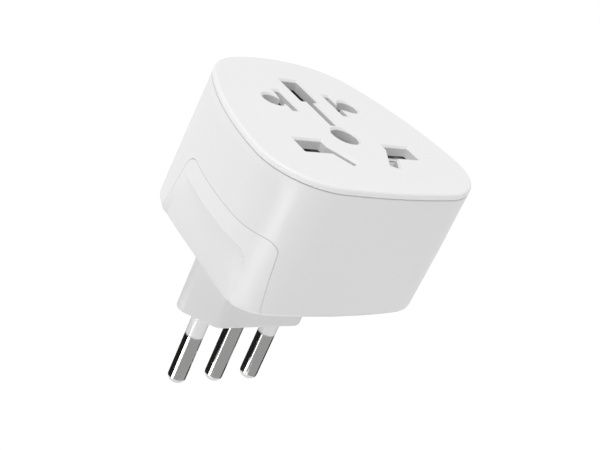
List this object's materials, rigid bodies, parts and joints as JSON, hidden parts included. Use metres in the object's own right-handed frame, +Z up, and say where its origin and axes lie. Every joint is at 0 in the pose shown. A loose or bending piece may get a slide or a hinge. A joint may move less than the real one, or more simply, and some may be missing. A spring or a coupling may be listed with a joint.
{
  "type": "universal travel adapter",
  "caption": "Universal travel adapter: a rounded block with a multi-standard socket face, a sprung safety shutter and an in-line plug with round pins.",
  "frame": {"origin": "centre of the plug face, where the earth pin's axis leaves it", "axes": "+Z up to the socket face, against the way the pins point; +Y to the socket's earth side; +X to the line side"},
  "size_m": [0.0504, 0.0515, 0.0658],
  "materials": {
    "face_plastic": "smooth semi-gloss",
    "body_plastic": "smooth semi-gloss",
    "grip_plastic": "fine satin",
    "base_plastic": "satin",
    "pin_metal": "nickel-plated",
    "sleeve_plastic": "satin",
    "contact_brass": "bare sheet",
    "carrier_plastic": "as moulded",
    "shutter_plastic": "smooth",
    "spring_steel": "drawn wire",
    "screw_steel": "zinc-plated"
  },
  "bodies": {
    "adapter": {"face_plate": "face_plastic", "housing": "body_plastic", "left_grip": "grip_plastic", "right_grip": "grip_plastic", "plug_base": "base_plastic", "earth_pin": "pin_metal", "line_pin": "pin_metal", "neutral_pin": "pin_metal", "line_pin_sleeve": "sleeve_plastic", "neutral_pin_sleeve": "sleeve_plastic", "pin_nuts": "contact_brass", "earth_link": "contact_brass", "line_link": "contact_brass", "neutral_link": "contact_brass", "contact_carrier": "carrier_plastic", "earth_contact": "contact_brass", "line_contact": "contact_brass", "neutral_contact": "contact_brass", "left_shutter_spring": "spring_steel", "right_shutter_spring": "spring_steel", "case_screws": "screw_steel"},
    "shutter": {"shutter": "shutter_plastic"}
  },
  "joints": [
    {"name": "shutter_slide", "type": "slide", "parent": "adapter", "child": "shutter", "axis": [0, 1, 0], "range_m": [0, 0.0065], "stiffness_N_per_m": 60, "springref_m": -0.003, "deforming": ["left_shutter_spring", "right_shutter_spring"]}
  ]
}
